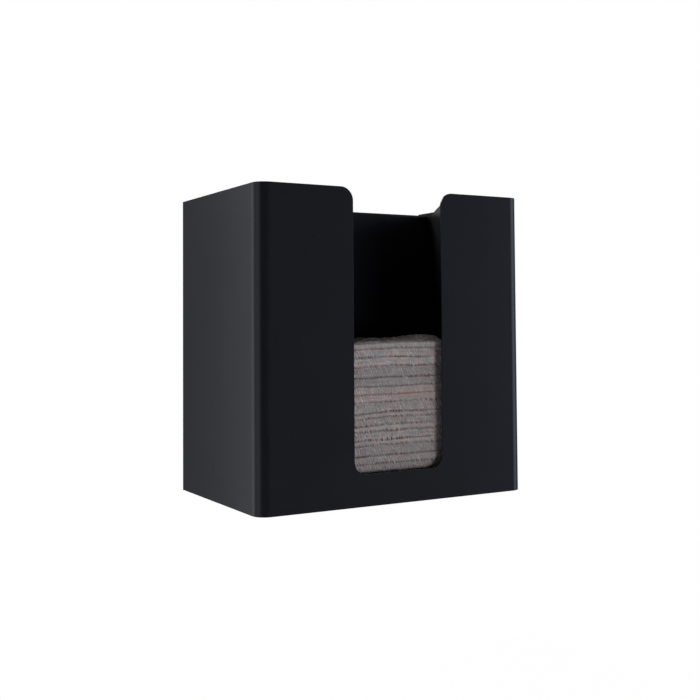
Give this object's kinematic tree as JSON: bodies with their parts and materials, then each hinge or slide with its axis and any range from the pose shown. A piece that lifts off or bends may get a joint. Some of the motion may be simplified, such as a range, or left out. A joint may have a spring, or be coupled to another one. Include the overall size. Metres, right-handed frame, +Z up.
{
  "type": "hand towel dispenser",
  "caption": "Wall-hung hand towel dispenser: an open-topped folded steel box with a tall front slot, guide plates and a lift-off wall bracket, loaded with folded terry towels.",
  "frame": {"origin": "the centre of the wall bracket's four screw holes, on the wall", "axes": "+X to the right as the front is seen, +Y into the wall, +Z up"},
  "size_m": [0.298, 0.187, 0.3],
  "materials": {
    "powder_coat": "satin black powder coat",
    "galvanised": "galvanised sheet, dull and faintly spangled",
    "zinc": "bright zinc plate",
    "rubber": "matt moulded rubber",
    "terry": "looped cotton terry"
  },
  "bodies": {
    "wall_bracket": {"wall_bracket": "galvanised"},
    "housing": {"housing_shell": "powder_coat", "back_panel": "powder_coat", "floor_pan": "powder_coat", "guide_plate_left": "powder_coat", "guide_plate_right": "powder_coat", "guide_studs": "zinc", "guide_nuts": "zinc", "hanger_rail": "galvanised", "rail_studs": "zinc", "rail_nuts": "zinc", "wall_bumpers": "rubber"},
    "towel_stack": {"towel_01": "terry", "towel_02": "terry", "towel_03": "terry", "towel_04": "terry", "towel_05": "terry", "towel_06": "terry", "towel_07": "terry", "towel_08": "terry", "towel_09": "terry", "towel_10": "terry", "towel_11": "terry", "towel_12": "terry", "towel_13": "terry", "towel_14": "terry", "towel_15": "terry", "towel_16": "terry", "towel_17": "terry", "towel_18": "terry"},
    "top_towel": {"towel_19": "terry"}
  },
  "joints": [
    {"name": "housing_lift", "type": "slide", "parent": "wall_bracket", "child": "housing", "axis": [0, 0, 1], "range_m": [0, 0.25]},
    {"name": "stack_lift", "type": "slide", "parent": "housing", "child": "towel_stack", "axis": [0, 0, 1], "range_m": [0, 0.3]},
    {"name": "top_towel_lift", "type": "slide", "parent": "towel_stack", "child": "top_towel", "axis": [0, 0, 1], "range_m": [0, 0.17]}
  ]
}
